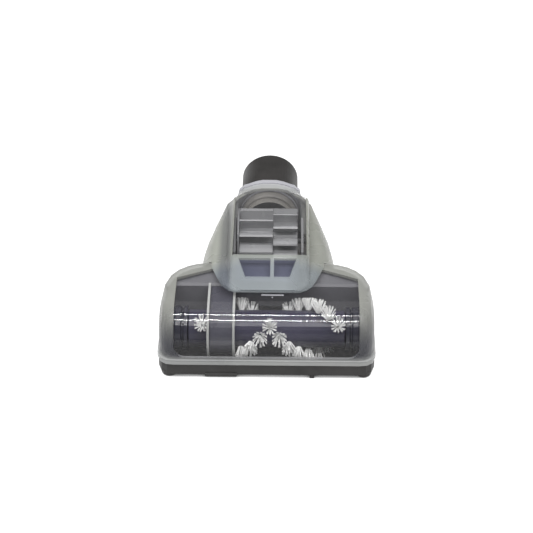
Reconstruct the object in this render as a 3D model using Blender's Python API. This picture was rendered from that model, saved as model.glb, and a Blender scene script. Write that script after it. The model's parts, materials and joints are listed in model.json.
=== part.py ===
"""Vacuum turbo brush: a see-through head with a belt-driven brush roller and an air turbine.

Metres, +Z up. The sole faces down, the head's front faces -Y and the wand socket leaves at +Y.
The origin is the middle of the overall box, on the floor.
"""
import math

import bmesh
import bpy
from mathutils import Vector

# General clearances and walls
GAP = 0.0003
WALL = 0.002
THIN_WALL = 0.0016
CHAMFER = 0.0008
SEAT_SINK = 0.0010
EPS = 0.004

# Head
HEAD_WIDTH = 0.148
HEAD_DEPTH = 0.081
HEAD_REAR_DROP = 0.0022
HEAD_REAR_RADIUS = 0.007
FRONT_CORNER = 0.010
REAR_CORNER = 0.024
REAR_BOW = 0.0130
SIDE_ROUND = 0.009
FRONT_STEP = 0.0008
WINDOW_MARGIN = 0.0105
WINDOW_SILL = 0.0050
WINDOW_REAR_MARGIN = 0.0165
WINDOW_SLANT = 0.0115
WINDOW_SLANT_X = 0.0380
WINDOW_CORNER = 0.0075
LIP_HEIGHT = 0.0036
LIP_REACH = 0.0014

# Base
GROUND_GAP = 0.003
SOLE_THICKNESS = 0.0025
BASE_TOP = 0.0115
BASE_WALL = 0.0025
BASE_REACH = 0.0008
BASE_OVERLAP = 0.0180
SLOT_SIDE = 0.0115
SLOT_FRONT = 0.0070
SLOT_DEPTH = 0.0395
FOOT_RADIUS = 0.0055
FOOT_INSET = 0.0068
FOOT_BACK = 0.0062
BULGE_BACK = 0.0004
BULGE_Z = 0.0008
RIB_FOOT_HALF = 0.0015

# Brush roller
TUFT_RADIUS = 0.022
TUFT_HEIGHT = 0.009
TUFT_COUNT = 7
TUFT_END_ROOM = 0.0076
TUFT_WIDTH = 0.0042
TUFT_FLARE = 0.0008
TUFT_TURN = math.radians(25.0)
TUFT_MIDDLE = 0.0022
ROW_PHASE = math.radians(138.0)
STRIP_WIDTH = 0.0030
STRIP_HEIGHT = 0.0008
CAP_RISE = 0.0025
CAP_LENGTH = 0.0110
CAP_GROOVE = 0.0016
CAP_RIM = 0.0024
BEARING_THICKNESS = 0.0056
BEARING_GAP = 0.0006
BEARING_HALF = 0.0065
ROLLER_AXLE_RADIUS = 0.0025
FLOOR_CLEARANCE = 0.0005
COVER_CLEARANCE = 0.0020

# Belt drive
BELT_SIDE = 0.0425
BELT_WIDTH = 0.0060
BELT_THICKNESS = 0.0012
BELT_SLACK = 0.0002
BELT_SIDE_ROOM = 0.0015
BELT_RATIO = 3.0
PULLEY_RISE = 0.0014
PULLEY_WIDTH = 0.0076
PULLEY_FLANGE = 0.0007
GUARD_ROOM = 0.0013
GUARD_HALF = 0.0080
BELT_BULGE_HALF = 0.0110
GUARD_SWEEP = 232.0

# Turbine
TURBINE_SETBACK = 0.123
TURBINE_RADIUS = 0.0240
TURBINE_FLOOR_ROOM = 0.0005
TURBINE_TOP_ROOM = 0.0015
TURBINE_SIDE_ROOM = 0.0028
TURBINE_SPLIT = 0.0033
TURBINE_BLADES = 12
HUB_RADIUS = 0.0125
SHAFT_RADIUS = 0.0020
SHAFT_OVERHANG = 0.0020
DISC_THICKNESS = 0.0012
PLATE_ROOM = 0.0021
PLATE_SHOULDER = 0.010
PLATE_INSET = 0.004
PLATE_TOP_ROOM = 0.0012
BUSH_RADIUS = 0.0045

# Tail
TONGUE_START = 0.034
TONGUE_TOP = 0.066
TONGUE_HALF = 0.0240
TAIL_SIDE_ROOM = 0.0170
TAIL_REAR_ROOM = 0.0050
TAIL_END_ROOM = 0.0004
BULGE_SIDE_ROOM = 0.0045
BULGE_X = 0.0012
BULGE_FOOT = 0.0015
BULGE_STEP = 0.0040
BULGE_SIDE_WALL = 0.0022
SHOULDER_DROP = 0.0105
SHOULDER_FULLNESS = 0.75
CROWN_RADIUS = 0.0035
TOP_ARCH = 0.0040
TOP_ROOM = 0.0016

# Openings and ducts
TURBINE_WINDOW_STEP = 0.0006
TURBINE_WINDOW_REAR = 0.0070
INLET_STEP = 0.0028
INLET_RISE = 0.0090
INLET_LENGTH = 0.0170
INLET_SIDE = 0.0080
INLET_TAPER = 0.0050
INLET_RIB = 0.0026
DUCT_ROOM = 0.0020
PASSAGE_ROOM = 0.0085
PASSAGE_DEPTH = 0.0120
THROAT_SIDE = 0.0060
THROAT_TOP = 0.0240

# Collar and neck
COLLAR_LENGTH = 0.0075
COLLAR_GROOVE = 0.0012
COLLAR_TAPER = 0.0012
NECK_RADIUS = 0.0216
NECK_WALL = 0.0039
NECK_REACH = 0.0400
NECK_INSIDE = 0.0140
NECK_ROOM = 0.0030
NECK_FLOOR_ROOM = 0.0008
NECK_EDGE = 0.0012
NECK_NOSE_DROP = 0.0026
NECK_NOSE_LENGTH = 0.0035
FLANGE_RISE = 0.0006
FLANGE_LENGTH = 0.0024
SEAT_RISE = 0.0007
SEAT_LENGTH = 0.0022

# Rear wheels
WHEEL_RADIUS = 0.0090
WHEEL_WIDTH = 0.0065
WHEEL_OUTSIDE_BELT = 0.0070
WHEEL_BEHIND_HEAD = 0.0070
WHEEL_PIN_RADIUS = 0.0015
WHEEL_SIDE_GAP = 0.0004
WHEEL_WELL_ROOM = 0.0012
EAR_HALF = 0.0042

# Screws
SCREW_RADIUS = 0.0030
SCREW_HEAD = 0.0012
SCREW_SHANK = 0.0013
SCREW_SOCKET = 0.0016
SCREW_INSET = 0.0090
SCREW_REAR_ROOM = 0.0220
SCREW_TAIL_X = 0.0300
SCREW_TAIL_STEP = 0.0200
BOSS_RADIUS = 0.0032
BOSS_TOP = 0.0095

# Worked out: the head and its roller
HALF = HEAD_WIDTH / 2
COVER_RADIUS = TUFT_RADIUS + COVER_CLEARANCE + WALL
ROLLER_Z = TUFT_RADIUS + FLOOR_CLEARANCE
ROLLER_SETBACK = COVER_RADIUS + FRONT_STEP
HEAD_TOP = ROLLER_Z + COVER_RADIUS
COVER_BOTTOM = BASE_TOP + GAP
SOLE_TOP = GROUND_GAP + SOLE_THICKNESS
CHAMBER_REAR = ROLLER_SETBACK + TUFT_RADIUS + COVER_CLEARANCE
CORE_RADIUS = TUFT_RADIUS - TUFT_HEIGHT
CORE_HALF = HALF - WALL - GAP - BEARING_THICKNESS - BEARING_GAP - CAP_LENGTH
CAP_RADIUS = CORE_RADIUS + CAP_RISE
TUFT_REACH = CORE_HALF - TUFT_END_ROOM
TUFT_PITCH = TUFT_REACH / TUFT_COUNT
SLOT_HALF = HALF - SLOT_SIDE

# Worked out: the drive and the turbine
BELT_X = BELT_SIDE - HALF
PULLEY_RADIUS = CORE_RADIUS + PULLEY_RISE
PINION_RADIUS = PULLEY_RADIUS / BELT_RATIO
GUARD_RADIUS = PULLEY_RADIUS + BELT_THICKNESS + GUARD_ROOM + THIN_WALL
PLATE_INNER = -BELT_X - PULLEY_WIDTH / 2 - PLATE_ROOM - THIN_WALL
TURBINE_HALF = PLATE_INNER - TURBINE_SIDE_ROOM
TURBINE_Z = SOLE_TOP + TURBINE_FLOOR_ROOM + TURBINE_RADIUS
PASSAGE_HALF = PASSAGE_ROOM - BELT_X
THROAT_HALF = PLATE_INNER - THROAT_SIDE

# Worked out: the tail, its openings and the neck
BULGE_HALF = PLATE_INNER + BULGE_SIDE_ROOM
BULGE_TOP = max(TURBINE_Z + TURBINE_RADIUS + TURBINE_TOP_ROOM + WALL, HEAD_TOP + INLET_RISE)
SHOULDER_TOP = BULGE_TOP - SHOULDER_DROP
TAIL_HALF = TAIL_SIDE_ROOM - BELT_X
TURBINE_REAR_HALF = BULGE_HALF + TAIL_REAR_ROOM
TURBINE_WINDOW_HALF = BULGE_HALF - BULGE_SIDE_WALL
INLET_REAR = TONGUE_TOP - INLET_STEP
INLET_FRONT = INLET_REAR - INLET_LENGTH
INLET_WIDE = BULGE_HALF - INLET_SIDE
INLET_NARROW = INLET_WIDE - INLET_TAPER
DUCT_HALF = INLET_WIDE + DUCT_ROOM
FLANGE_RADIUS = NECK_RADIUS + FLANGE_RISE
SEAT_RADIUS = NECK_RADIUS + SEAT_RISE
COLLAR_RADIUS = NECK_RADIUS + GAP + WALL
NECK_Z = SOLE_TOP + NECK_FLOOR_ROOM + FLANGE_RADIUS
COLLAR_BOTTOM = NECK_Z - COLLAR_RADIUS
TAIL_END = TURBINE_SETBACK + TURBINE_RADIUS + NECK_ROOM + NECK_INSIDE
SEAT_START = TAIL_END - FLANGE_LENGTH - SEAT_LENGTH - 2 * GAP
TAIL_END_HALF = FLANGE_RADIUS + WALL + TAIL_END_ROOM
NECK_END = TAIL_END + COLLAR_LENGTH + NECK_REACH
WHEEL_X = WHEEL_OUTSIDE_BELT - BELT_X

# Worked out: places along the object, whose middle is the origin
Y_FRONT = -(NECK_END + FRONT_STEP - LIP_REACH) / 2
ROLLER_Y = Y_FRONT + ROLLER_SETBACK
TURBINE_Y = Y_FRONT + TURBINE_SETBACK
WHEEL_Y = Y_FRONT + HEAD_DEPTH + WHEEL_BEHIND_HEAD


def clear_scene():
    for old in list(bpy.data.objects):
        bpy.data.objects.remove(old, do_unlink=True)


def material(name, colour, roughness, metallic=0.0, alpha=1.0):
    """One Principled material, shared by the pieces of one finish."""
    found = bpy.data.materials.get(name)
    if found:
        return found
    made = bpy.data.materials.new(name)
    made.use_nodes = True
    shader = made.node_tree.nodes["Principled BSDF"]
    shader.inputs["Base Color"].default_value = (*colour, 1.0)
    shader.inputs["Roughness"].default_value = roughness
    shader.inputs["Metallic"].default_value = metallic
    shader.inputs["Alpha"].default_value = alpha
    made.diffuse_color = (*colour, alpha)
    return made


def dark_plastic():
    return material("dark_plastic", (0.045, 0.043, 0.042), 0.45)


def smoke_frosted():
    return material("smoke_frosted", (0.36, 0.37, 0.34), 0.35, alpha=0.5)


def smoke_clear():
    return material("smoke_clear", (0.45, 0.46, 0.48), 0.05, alpha=0.25)


def grey_plastic():
    return material("grey_plastic", (0.20, 0.20, 0.21), 0.35)


def light_grey_plastic():
    return material("light_grey_plastic", (0.42, 0.42, 0.45), 0.35)


def navy_plastic():
    return material("navy_plastic", (0.030, 0.028, 0.050), 0.30)


def bristle_white():
    return material("bristle_white", (0.85, 0.85, 0.83), 0.60)


def steel():
    return material("steel", (0.60, 0.60, 0.60), 0.25, metallic=1.0)


def rubber():
    return material("rubber", (0.02, 0.02, 0.02), 0.70)


def add_object(name, bm, finish, origin=(0.0, 0.0, 0.0), smooth_angle=35.0):
    """Turn a bmesh in world coordinates into an object whose origin is at the given point."""
    bmesh.ops.recalc_face_normals(bm, faces=bm.faces[:])
    bmesh.ops.translate(bm, verts=bm.verts[:], vec=-Vector(origin))
    mesh = bpy.data.meshes.new(name)
    bm.to_mesh(mesh)
    bm.free()
    mesh.shade_smooth()
    mesh.set_sharp_from_angle(angle=math.radians(smooth_angle))
    made = bpy.data.objects.new(name, mesh)
    made.location = origin
    bpy.context.scene.collection.objects.link(made)
    mesh.materials.append(finish)
    return made


def loft(rings):
    """A closed body through rings of equal length, capped at both ends."""
    bm = bmesh.new()
    rows = [[bm.verts.new(point) for point in ring] for ring in rings]
    count = len(rows[0])
    for first, second in zip(rows, rows[1:]):
        for k in range(count):
            following = (k + 1) % count
            bm.faces.new((first[k], first[following], second[following], second[k]))
    bm.faces.new(rows[0][::-1])
    bm.faces.new(rows[-1])
    return bm


def prism(outline, axis, low, high):
    """Extrude a flat outline along X, Y or Z. The outline holds the two other coordinates."""
    def place(pair, along):
        first, second = pair
        if axis == "X":
            return (along, first, second)
        if axis == "Y":
            return (first, along, second)
        return (first, second, along)
    return loft([[place(pair, low) for pair in outline], [place(pair, high) for pair in outline]])


def box(low, high):
    outline = [(low[0], low[1]), (high[0], low[1]), (high[0], high[1]), (low[0], high[1])]
    return prism(outline, "Z", low[2], high[2])


def circle(centre, radius, count, start=0.0):
    turn = 2 * math.pi / count
    return [(centre[0] + radius * math.cos(start + k * turn),
             centre[1] + radius * math.sin(start + k * turn)) for k in range(count)]


def turned(profile, axis, centre, count=32):
    """Revolve a closed profile of (along, radius) points, all off the axis, about X or Y."""
    bm = bmesh.new()
    rings = []
    for k in range(count):
        angle = 2 * math.pi * k / count
        ring = []
        for along, radius in profile:
            side = radius * math.cos(angle)
            rise = radius * math.sin(angle)
            if axis == "X":
                point = (along, centre[0] + side, centre[1] + rise)
            else:
                point = (centre[0] + side, along, centre[1] + rise)
            ring.append(bm.verts.new(point))
        rings.append(ring)
    steps = len(profile)
    for k in range(count):
        here = rings[k]
        there = rings[(k + 1) % count]
        for s in range(steps):
            t = (s + 1) % steps
            bm.faces.new((here[s], here[t], there[t], there[s]))
    return bm


def rod(profile, axis, centre, count=24):
    """A solid of revolution: each (along, radius) pair is one ring, capped at both ends."""
    rings = []
    for along, radius in profile:
        ring = []
        for first, second in circle(centre, radius, count):
            ring.append((along, first, second) if axis == "X" else (first, along, second))
        rings.append(ring)
    return loft(rings)


def joined(first, second, operation):
    """Exact Boolean of two bmeshes, which are both used up."""
    objects = []
    for bm in (first, second):
        bmesh.ops.recalc_face_normals(bm, faces=bm.faces[:])
        mesh = bpy.data.meshes.new("scratch")
        bm.to_mesh(mesh)
        bm.free()
        made = bpy.data.objects.new("scratch", mesh)
        bpy.context.scene.collection.objects.link(made)
        objects.append(made)
    target, tool = objects
    cut = target.modifiers.new("cut", "BOOLEAN")
    cut.operation = operation
    cut.solver = "EXACT"
    cut.object = tool
    graph = bpy.context.evaluated_depsgraph_get()
    result = bmesh.new()
    result.from_mesh(bpy.data.meshes.new_from_object(target.evaluated_get(graph)))
    for made in objects:
        bpy.data.objects.remove(made, do_unlink=True)
    bmesh.ops.remove_doubles(result, verts=result.verts[:], dist=1e-6)
    return result


def minus(first, second):
    return joined(first, second, "DIFFERENCE")


def plus(first, second):
    return joined(first, second, "UNION")


def common(first, second):
    return joined(first, second, "INTERSECT")


def quarter_drop(distance, radius):
    """How far a rounded corner pulls in, at this distance from the edge it ends on."""
    if distance >= radius:
        return 0.0
    return radius - math.sqrt(max(0.0, radius ** 2 - (radius - distance) ** 2))


def blend_between(stations, value):
    """Smooth value read from (position, amount) stations."""
    if value <= stations[0][0]:
        return stations[0][1]
    for (a, first), (b, second) in zip(stations, stations[1:]):
        if value <= b:
            share = (value - a) / (b - a)
            return first + (second - first) * (share * share * (3 - 2 * share) * 0.5 + share * 0.5)
    return stations[-1][1]


def head_stations(inset):
    """X stations of the head, close together where its ends are rounded."""
    half = HALF - inset
    outer = [half - REAR_CORNER * (1 - math.cos(math.radians(a))) for a in (0, 25, 42, 58, 74, 90)]
    positive = sorted([HALF * 0.4] + outer)
    return [-x for x in positive[::-1]] + positive


def head_plan(x, inset):
    """Front and rear edge of the head at x, measured back from its front."""
    half = HALF - inset
    distance = half - abs(x)
    front = FRONT_STEP + inset + quarter_drop(distance, FRONT_CORNER)
    bow = REAR_BOW * (x / HALF) ** 2
    rear = HEAD_DEPTH - inset - bow - quarter_drop(distance, REAR_CORNER)
    return front, rear


def head_section(x, inset, bottom):
    """The head cover's side outline at x: front, curve over the roller, top and rounded rear."""
    front, rear = head_plan(x, inset)
    top = HEAD_TOP - inset - quarter_drop(HALF - inset - abs(x), SIDE_ROUND)
    points = [(x, Y_FRONT + front, bottom)]
    reach = ROLLER_SETBACK - front
    for step in range(9):
        angle = math.radians(180 - 90 * step / 8)
        points.append((x, ROLLER_Y + reach * math.cos(angle), ROLLER_Z + (top - ROLLER_Z) * math.sin(angle)))
    rounding = HEAD_REAR_RADIUS
    rear_top = top - HEAD_REAR_DROP
    for step in range(5):
        angle = math.radians(90 - 90 * step / 4)
        points.append((x, Y_FRONT + rear - rounding + rounding * math.cos(angle),
                       rear_top - rounding + rounding * math.sin(angle)))
    points.append((x, Y_FRONT + rear, bottom))
    return points


def head_body(inset, bottom):
    return loft([head_section(x, inset, bottom) for x in head_stations(inset)])


def head_shell():
    return minus(head_body(0.0, COVER_BOTTOM), head_body(WALL, COVER_BOTTOM - EPS))


def window_block(shrink):
    """The block that bounds the clear window in the head's shell."""
    half = HALF - WINDOW_MARGIN - shrink
    rear = Y_FRONT + HEAD_DEPTH - WINDOW_REAR_MARGIN - shrink
    outline = [(-half, Y_FRONT - EPS), (half, Y_FRONT - EPS), (half, rear - WINDOW_SLANT),
               (WINDOW_SLANT_X, rear), (-WINDOW_SLANT_X, rear), (-half, rear - WINDOW_SLANT)]
    sill = COVER_BOTTOM + WINDOW_SILL + shrink
    corner = WINDOW_CORNER - shrink
    front = [(half, HEAD_TOP + EPS), (-half, HEAD_TOP + EPS)]
    for middle, start in ((corner - half, 180), (half - corner, 270)):
        for step in range(5):
            angle = math.radians(start + 90 * step / 4)
            front.append((middle + corner * math.cos(angle), sill + corner + corner * math.sin(angle)))
    low = Y_FRONT - 2 * EPS
    return common(prism(outline, "Z", sill - EPS, HEAD_TOP + 2 * EPS), prism(front, "Y", low, rear + EPS))


# The tail's outline in three stretches, as shares: of the way back, and from its far to its near half width
TONGUE_FULLNESS = [(0.00, 0.00), (0.08, 0.21), (0.25, 0.43), (0.56, 0.69)]
TURBINE_FULLNESS = [(0.00, 0.80), (0.17, 1.00), (0.36, 0.95), (0.54, 0.79), (0.73, 0.52), (0.91, 0.20)]
END_FULLNESS = [(0.00, 1.00), (0.42, 0.52), (0.70, 0.26), (1.00, 0.00)]


def tail_widths():
    """(back, half width) stations of the tail, from its tongue over the head to its end."""
    def stretch(fullness, start, end, narrow, wide):
        return [(start + share * (end - start), narrow + full * (wide - narrow)) for share, full in fullness]
    rear = TURBINE_SETBACK + TURBINE_RADIUS
    beside = stretch(TURBINE_FULLNESS, TONGUE_TOP, rear, TURBINE_REAR_HALF, TAIL_HALF)
    tongue = stretch(TONGUE_FULLNESS, TONGUE_START, TONGUE_TOP, TONGUE_HALF, beside[0][1])
    return tongue + beside + stretch(END_FULLNESS, rear, TAIL_END, TAIL_END_HALF, TURBINE_REAR_HALF)


TAIL_WIDTHS = tail_widths()
TAIL_TOPS = [
    (TONGUE_START, HEAD_TOP + WALL + GAP), (TONGUE_TOP, BULGE_TOP), (TURBINE_SETBACK, BULGE_TOP),
    (TAIL_END, NECK_Z + COLLAR_RADIUS + TOP_ROOM),
]


def tail_section(back, inset, bottom):
    """The tail's cross outline: low wall, curved shoulder, upright bulge side and flat top."""
    half = blend_between(TAIL_WIDTHS, back) - inset
    top = blend_between(TAIL_TOPS, back) - inset
    shoulder = min(SHOULDER_TOP - inset, top - WALL)
    rear = TURBINE_SETBACK + TURBINE_RADIUS
    share_to_seat = min(1.0, max(0.0, (back - rear) / (SEAT_START - rear)))
    bulge = BULGE_HALF + share_to_seat * (TAIL_END_HALF - BULGE_STEP - BULGE_HALF)
    bulge = min(bulge - inset, half - BULGE_STEP)
    if back <= TONGUE_TOP:
        shoulder = min(HEAD_TOP + WALL, top - CHAMFER)
    y = Y_FRONT + back
    waist = bottom + (shoulder - bottom) * 0.30
    right = [(half, y, bottom)]
    for step in range(7):
        angle = math.radians(90 * step / 6)
        across = max(0.0, math.cos(angle)) ** SHOULDER_FULLNESS
        rise = math.sin(angle) ** SHOULDER_FULLNESS
        right.append((bulge + BULGE_FOOT + (half - bulge - BULGE_FOOT) * across,
                      y, waist + (shoulder - waist) * rise))
    arch = TOP_ARCH * max(0.0, (back - TURBINE_SETBACK) / (TAIL_END - TURBINE_SETBACK))
    flat = bulge - CROWN_RADIUS
    edge = top - arch
    drop = min(CROWN_RADIUS, (edge - shoulder) * 0.8)
    crown = []
    for angle in (0.0, 45.0, 90.0):
        turn = math.radians(angle)
        crown.append((flat + CROWN_RADIUS * math.cos(turn), y, edge - drop * (1 - math.sin(turn))))
    for share in (0.66, 0.33):
        crown.append((flat * share, y, top - arch * share ** 2))
    aside = BULGE_X * (1.0 - share_to_seat)
    low = right + [(x + aside, y, z) for x, y, z in crown]
    high = [(aside - x, y, z) for x, y, z in crown[::-1]] + [(-x, y, z) for x, y, z in right[::-1]]
    return low + high


def tail_body(inset, bottom, first, last):
    backs = [station[0] for station in TAIL_WIDTHS]
    backs = [first] + [back for back in backs if first < back < last] + [last]
    return loft([tail_section(back, inset, bottom) for back in backs])


def tail_shell():
    outer = tail_body(0.0, COVER_BOTTOM, TONGUE_START, TAIL_END)
    inner = tail_body(WALL, COVER_BOTTOM - EPS, TONGUE_START + WALL, TAIL_END + EPS)
    return minus(minus(outer, inner), head_body(-GAP, GROUND_GAP))


def turbine_window_block(shrink):
    half = TURBINE_WINDOW_HALF - shrink
    low = (BULGE_X - half, Y_FRONT + TONGUE_TOP + TURBINE_WINDOW_STEP + shrink, SHOULDER_TOP + WALL)
    high = (BULGE_X + half, Y_FRONT + TAIL_END - TURBINE_WINDOW_REAR - shrink, BULGE_TOP + EPS)
    return box(low, high)


def inlet_cutter(side):
    """One part of the air inlet: a trapezoid beside the rib, which stands where the turbine is split."""
    near = Y_FRONT + INLET_FRONT
    far = Y_FRONT + INLET_REAR
    rib = TURBINE_SPLIT + side * INLET_RIB / 2
    outline = [(rib, near), (side * INLET_NARROW, near), (side * INLET_WIDE, far), (rib, far)]
    return prism(outline, "Z", HEAD_TOP + GAP, BULGE_TOP + EPS)


def head_outline(inset):
    """The head's plan, as one closed outline of (x, y)."""
    stations = head_stations(inset)
    fronts = [(x, Y_FRONT + head_plan(x, inset)[0]) for x in stations]
    rears = [(x, Y_FRONT + head_plan(x, inset)[1]) for x in stations[::-1]]
    return fronts + rears


def tail_outline(inset, first, last):
    backs = [first] + [back for back, _ in TAIL_WIDTHS if first < back < last] + [last]
    right = [(blend_between(TAIL_WIDTHS, min(back, TAIL_END)) - inset, Y_FRONT + back) for back in backs]
    return [(-x, y) for x, y in right] + right[::-1]


def screw_places():
    head = (HALF - SCREW_INSET, HEAD_DEPTH - SCREW_REAR_ROOM)
    tail = (SCREW_TAIL_X, HEAD_DEPTH + WHEEL_BEHIND_HEAD + SCREW_TAIL_STEP)
    return [(side * x, back) for x, back in (head, tail) for side in (1, -1)]


def upright(profile, x, back, count=16):
    """A solid of revolution about a vertical axis: each (height, radius) pair is one ring."""
    return loft([[(px, py, height) for px, py in circle((x, Y_FRONT + back), radius, count)]
                 for height, radius in profile])


def make_base_shell():
    flush = -BASE_REACH
    outer = plus(prism(head_outline(flush), "Z", GROUND_GAP, BASE_TOP),
                 prism(tail_outline(0.0, HEAD_DEPTH - BASE_OVERLAP, TAIL_END), "Z", GROUND_GAP, BASE_TOP))
    pocket = plus(prism(head_outline(flush + BASE_WALL), "Z", SOLE_TOP, BASE_TOP + EPS),
                  prism(tail_outline(BASE_WALL, HEAD_DEPTH - BASE_OVERLAP - SEAT_SINK, TAIL_END - BASE_WALL),
                        "Z", SOLE_TOP, BASE_TOP + EPS))
    shell = minus(outer, pocket)
    shell = minus(shell, box((-SLOT_HALF, Y_FRONT + SLOT_FRONT, 0.0),
                             (SLOT_HALF, Y_FRONT + SLOT_FRONT + SLOT_DEPTH, SOLE_TOP + EPS)))
    for side in (-1, 1):
        foot = upright([(0.0, FOOT_RADIUS - SEAT_SINK), (SEAT_SINK, FOOT_RADIUS),
                        (SOLE_TOP - SEAT_SINK, FOOT_RADIUS)], side * (HALF - FOOT_INSET), FOOT_BACK)
        shell = plus(shell, foot)
        for edge in (-1, 1):
            x = side * WHEEL_X + edge * (WHEEL_WIDTH / 2 + WHEEL_SIDE_GAP + THIN_WALL / 2)
            ear = box((x - THIN_WALL / 2, WHEEL_Y - EAR_HALF, SOLE_TOP - SEAT_SINK),
                      (x + THIN_WALL / 2, WHEEL_Y + EAR_HALF, WHEEL_RADIUS + WHEEL_PIN_RADIUS + WALL))
            shell = plus(shell, ear)
        well = WHEEL_RADIUS + WHEEL_WELL_ROOM
        shell = minus(shell, box((side * WHEEL_X - WHEEL_WIDTH / 2 - WHEEL_SIDE_GAP, WHEEL_Y - well, 0.0),
                                 (side * WHEEL_X + WHEEL_WIDTH / 2 + WHEEL_SIDE_GAP, WHEEL_Y + well,
                                  SOLE_TOP + EPS)))
        reach = WHEEL_WIDTH / 2 + WHEEL_SIDE_GAP + THIN_WALL + WALL
        hole = rod([(side * WHEEL_X - reach, WHEEL_PIN_RADIUS + GAP),
                    (side * WHEEL_X + reach, WHEEL_PIN_RADIUS + GAP)], "X", (WHEEL_Y, WHEEL_RADIUS), 16)
        shell = minus(shell, hole)
    ledge = Y_FRONT + SLOT_FRONT - 2 * GAP
    bulge_low = Y_FRONT + BULGE_BACK
    bulge = prism([(bulge_low, BULGE_Z), (ledge, BULGE_Z), (ledge, SOLE_TOP - SEAT_SINK),
                   (bulge_low - SEAT_SINK, SOLE_TOP - SEAT_SINK)],
                  "X", BELT_X - BELT_BULGE_HALF, BELT_X + BELT_BULGE_HALF)
    shell = plus(shell, bulge)
    rib_foot = box((-BELT_X - RIB_FOOT_HALF, bulge_low, 0.0),
                   (-BELT_X + RIB_FOOT_HALF, ledge - GAP, SOLE_TOP - SEAT_SINK))
    shell = plus(shell, rib_foot)
    counterbore = [(0.0, SCREW_RADIUS + GAP), (GROUND_GAP + SCREW_HEAD + GAP, SCREW_RADIUS + GAP)]
    shank_hole = [(GROUND_GAP, SCREW_SHANK + GAP), (BOSS_TOP + EPS, SCREW_SHANK + GAP)]
    for x, back in screw_places():
        boss = upright([(SOLE_TOP - SEAT_SINK, BOSS_RADIUS), (BOSS_TOP, BOSS_RADIUS)], x, back)
        shell = plus(shell, boss)
        shell = minus(shell, upright(counterbore, x, back))
        shell = minus(shell, upright(shank_hole, x, back))
    neck_room = rod([(Y_FRONT + TAIL_END - NECK_INSIDE, FLANGE_RADIUS + GAP),
                     (Y_FRONT + TAIL_END + EPS, FLANGE_RADIUS + GAP)], "Y", (0.0, NECK_Z), 48)
    shell = minus(shell, neck_room)
    add_object("base_shell", shell, dark_plastic())


def make_screws():
    for number, (x, back) in enumerate(screw_places(), 1):
        low = GROUND_GAP
        screw = upright([(low, SCREW_RADIUS), (low + SCREW_HEAD, SCREW_RADIUS),
                         (low + SCREW_HEAD, SCREW_SHANK), (BOSS_TOP - 2 * GAP, SCREW_SHANK)], x, back)
        turn = circle((x, Y_FRONT + back), SCREW_SOCKET, 4)
        socket = prism(turn, "Z", low - EPS, low + SCREW_HEAD * 0.6)
        add_object("base_screw_%d" % number, minus(screw, socket), steel())


def make_head_frame():
    shell = minus(head_shell(), window_block(0.0))
    rear = Y_FRONT + HEAD_DEPTH
    passage = box((-PASSAGE_HALF, rear - PASSAGE_DEPTH, COVER_BOTTOM - EPS),
                  (PASSAGE_HALF, rear + EPS, HEAD_TOP - HEAD_REAR_DROP - HEAD_REAR_RADIUS))
    shell = minus(shell, passage)
    lip = prism(head_outline(-LIP_REACH), "Z", COVER_BOTTOM, COVER_BOTTOM + LIP_HEIGHT)
    behind = box((-HALF - EPS, Y_FRONT + HEAD_DEPTH - REAR_CORNER - REAR_BOW, 0.0),
                 (HALF + EPS, Y_FRONT + HEAD_DEPTH + EPS, HEAD_TOP))
    lip = minus(lip, behind)
    lip = minus(lip, head_body(WALL * 0.5, COVER_BOTTOM - EPS))
    add_object("head_frame", plus(shell, lip), smoke_frosted())


def make_window():
    add_object("roller_window", common(head_shell(), window_block(GAP)), smoke_clear())


def make_tail_cover():
    shell = minus(tail_shell(), turbine_window_block(0.0))
    for side in (-1, 1):
        shell = minus(shell, inlet_cutter(side))
    add_object("tail_cover", shell, smoke_frosted())


def make_turbine_window():
    add_object("turbine_window", common(tail_shell(), turbine_window_block(GAP)), smoke_clear())


def head_top_height(back):
    """Height of the head's roof over its straight part, which falls towards the rear."""
    span = HEAD_DEPTH - HEAD_REAR_RADIUS - ROLLER_SETBACK
    return HEAD_TOP - HEAD_REAR_DROP * (back - ROLLER_SETBACK) / span


def make_inlet_tray():
    near = INLET_FRONT + GAP
    far = HEAD_DEPTH - HEAD_REAR_RADIUS
    outline = [(Y_FRONT + near, head_top_height(near) + GAP), (Y_FRONT + far, head_top_height(far) + GAP),
               (Y_FRONT + far, head_top_height(far) + GAP + THIN_WALL),
               (Y_FRONT + near, head_top_height(near) + GAP + THIN_WALL * 0.6)]
    add_object("inlet_tray", prism(outline, "X", -DUCT_HALF, DUCT_HALF), grey_plastic())


def make_chamber_wall():
    """The dark wall behind the roller, which turns back into a roof below the head's top."""
    near = Y_FRONT + CHAMBER_REAR
    far = Y_FRONT + HEAD_DEPTH - HEAD_REAR_RADIUS - WALL
    under = ROLLER_Z + GUARD_RADIUS + GAP
    outline = [(near, SOLE_TOP), (near + THIN_WALL, SOLE_TOP), (near + THIN_WALL, under), (far, under),
               (far, under + THIN_WALL), (near + THIN_WALL, under + THIN_WALL), (near, under)]
    wall = common(prism(outline, "X", -HALF, HALF), head_body(WALL + 2 * GAP, SOLE_TOP + GAP))
    reach = BELT_WIDTH / 2 + BELT_SIDE_ROOM
    belt_slot = box((BELT_X - reach, near - EPS, ROLLER_Z - PULLEY_RADIUS - BELT_THICKNESS),
                    (BELT_X + reach, near + EPS + THIN_WALL, ROLLER_Z + PULLEY_RADIUS + 2 * BELT_THICKNESS))
    throat = box((-THROAT_HALF, near - EPS, SOLE_TOP + WALL),
                 (THROAT_HALF, near + EPS + THIN_WALL, THROAT_TOP))
    add_object("chamber_wall", minus(minus(wall, belt_slot), throat), navy_plastic())


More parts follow.
